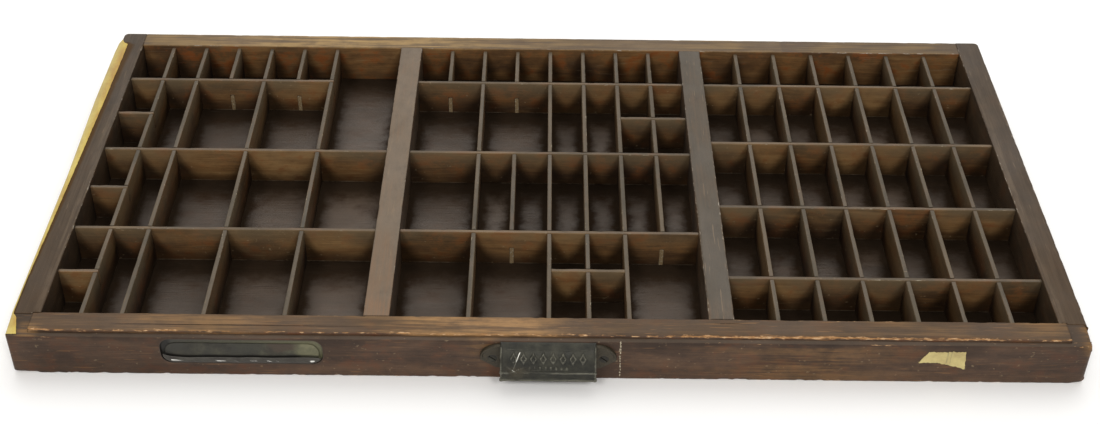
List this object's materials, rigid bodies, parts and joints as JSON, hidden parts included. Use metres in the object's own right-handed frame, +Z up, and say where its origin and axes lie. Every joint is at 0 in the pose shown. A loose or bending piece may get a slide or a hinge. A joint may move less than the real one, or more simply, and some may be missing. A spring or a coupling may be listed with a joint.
{
  "type": "type case",
  "caption": "Shallow wooden type case: a framed tray divided by bars and lapped slats into small boxes, with an iron cup pull and a recessed card holder on the front.",
  "frame": {"origin": "centre of the case's underside, midway between its two ends and between its front and back faces, without the pull", "axes": "+X along the front towards the right-hand end, +Y from the front to the back, +Z up"},
  "size_m": [0.8193, 0.4377, 0.0413],
  "materials": {
    "rail_wood": "worn dark stain, greyed along the tops",
    "front_wood": "worn dark stain with rubbed edges",
    "slat_wood": "old thin slats, dusty and greyed on top",
    "panel_wood": "dark stained floor, dull sheen",
    "pull_iron": "dark japanned casting, rubbed",
    "screw_steel": "darkened steel",
    "holder_steel": "tarnished pressed steel",
    "label_card": "soiled grey-green card",
    "nail_steel": "dull steel",
    "paper_tape": "yellowed crepe masking tape, torn"
  },
  "bodies": {
    "case": {"left_side_rail": "rail_wood", "right_side_rail": "rail_wood", "left_bar": "rail_wood", "right_bar": "rail_wood", "back_rail": "rail_wood", "front_board": "front_wood", "front_top_strip": "front_wood", "bottom_panel": "panel_wood", "left_cross_slat_1": "slat_wood", "left_cross_slat_2": "slat_wood", "left_cross_slat_3": "slat_wood", "left_short_slat_1": "slat_wood", "left_short_slat_2": "slat_wood", "left_short_slat_3": "slat_wood", "middle_cross_slat_1": "slat_wood", "middle_cross_slat_2": "slat_wood", "middle_cross_slat_3": "slat_wood", "middle_short_slat_1": "slat_wood", "middle_short_slat_2": "slat_wood", "right_cross_slat_1": "slat_wood", "right_cross_slat_2": "slat_wood", "right_cross_slat_3": "slat_wood", "right_cross_slat_4": "slat_wood", "left_deep_slat_1": "slat_wood", "left_deep_slat_2": "slat_wood", "left_deep_slat_3": "slat_wood", "left_deep_slat_4": "slat_wood", "left_deep_slat_5": "slat_wood", "left_deep_slat_6": "slat_wood", "middle_deep_slat_1": "slat_wood", "middle_deep_slat_2": "slat_wood", "middle_deep_slat_3_back": "slat_wood", "middle_deep_slat_3_front": "slat_wood", "middle_deep_slat_4": "slat_wood", "middle_deep_slat_5": "slat_wood", "middle_deep_slat_6": "slat_wood", "middle_deep_slat_7": "slat_wood", "right_deep_slat_1": "slat_wood", "right_deep_slat_2": "slat_wood", "right_deep_slat_3": "slat_wood", "right_deep_slat_4": "slat_wood", "right_deep_slat_5": "slat_wood", "right_deep_slat_6": "slat_wood", "drawer_pull": "pull_iron", "pull_screws": "screw_steel", "card_holder": "holder_steel", "bottom_nails": "nail_steel", "corner_nails": "nail_steel", "side_tape": "paper_tape", "tape_scrap": "paper_tape"},
    "card": {"label_card": "label_card"}
  },
  "joints": [
    {"name": "card_lift", "type": "slide", "parent": "case", "child": "card", "axis": [0, 0, 1], "range_m": [0, 0.0045]}
  ]
}
